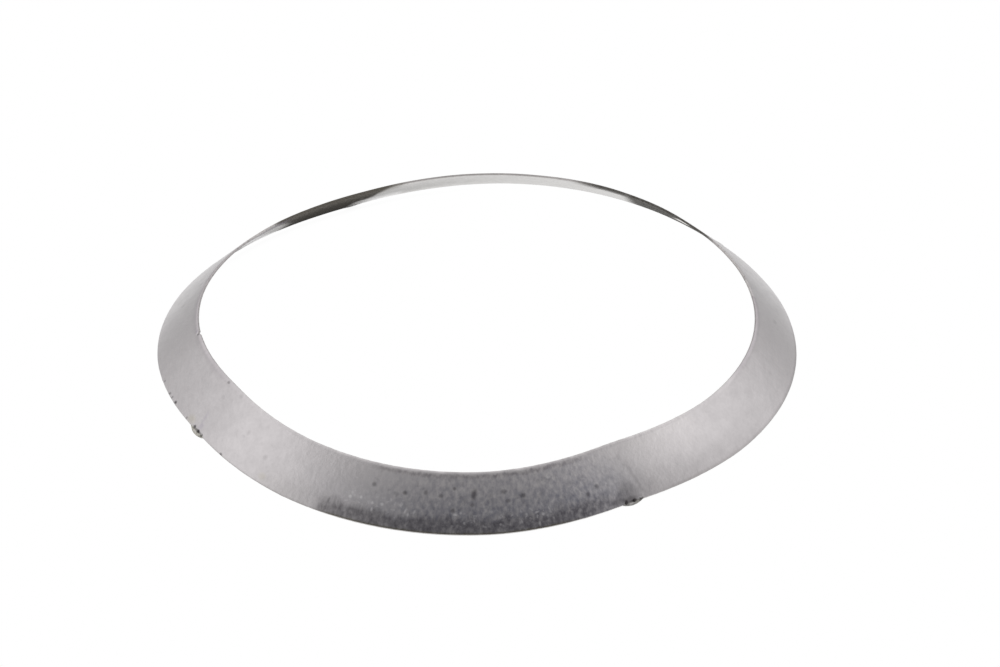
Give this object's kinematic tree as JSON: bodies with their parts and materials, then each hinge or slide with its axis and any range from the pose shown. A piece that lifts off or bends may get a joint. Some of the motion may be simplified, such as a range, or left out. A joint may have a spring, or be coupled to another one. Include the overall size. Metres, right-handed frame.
{
  "type": "conical gasket ring",
  "caption": "Thin stamped metal gasket ring with a shallow conical face, for sealing the flared joint between two pipe ends.",
  "frame": {"origin": "on the ring's axis, in the plane that its wide rim and tab stubs rest on", "axes": "+Z along the ring's axis, from the wide rim to the narrow rim; the ring lies wide rim down"},
  "size_m": [0.0858, 0.0858, 0.0065],
  "materials": {
    "satin_steel": "satin rolled sheet, slightly warm grey, with fine specks and handling marks"
  },
  "bodies": {
    "root": {"gasket_ring": "satin_steel"}
  },
  "joints": []
}
